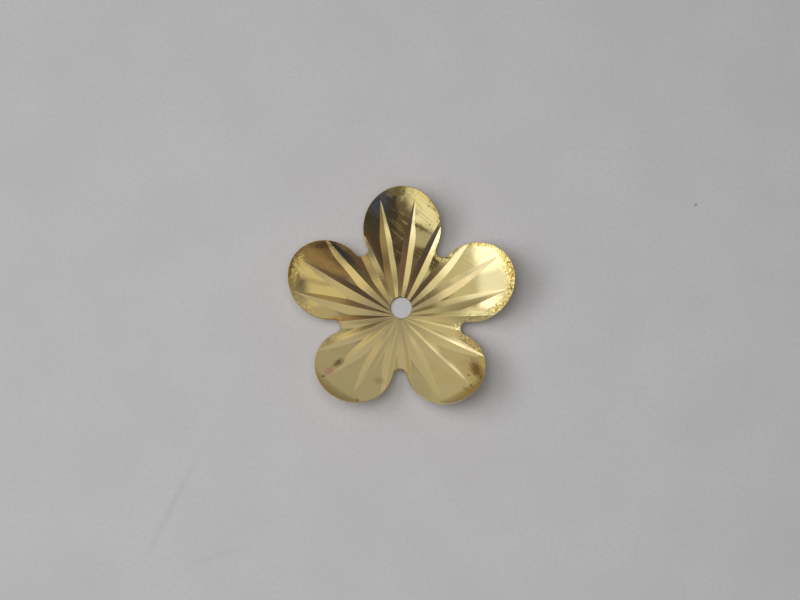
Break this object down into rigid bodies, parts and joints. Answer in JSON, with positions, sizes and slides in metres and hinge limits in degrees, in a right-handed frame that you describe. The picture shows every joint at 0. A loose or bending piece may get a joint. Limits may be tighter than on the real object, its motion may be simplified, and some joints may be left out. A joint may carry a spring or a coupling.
{
  "type": "bead cap",
  "caption": "Flower-shaped dished bead cap with rounded petals, radiating V grooves in its hollow side and a thread hole.",
  "frame": {"origin": "centre of the thread hole, in the plane of the flat ring that the cap stands on", "axes": "+Z along the thread hole towards the hollow side, +Y towards the top petal of the picture"},
  "size_m": [0.0218, 0.0212, 0.0054],
  "materials": {
    "gilt_brass": "polished gold plate with bright-cut grooves"
  },
  "bodies": {
    "root": {"cap": "gilt_brass"}
  },
  "joints": []
}
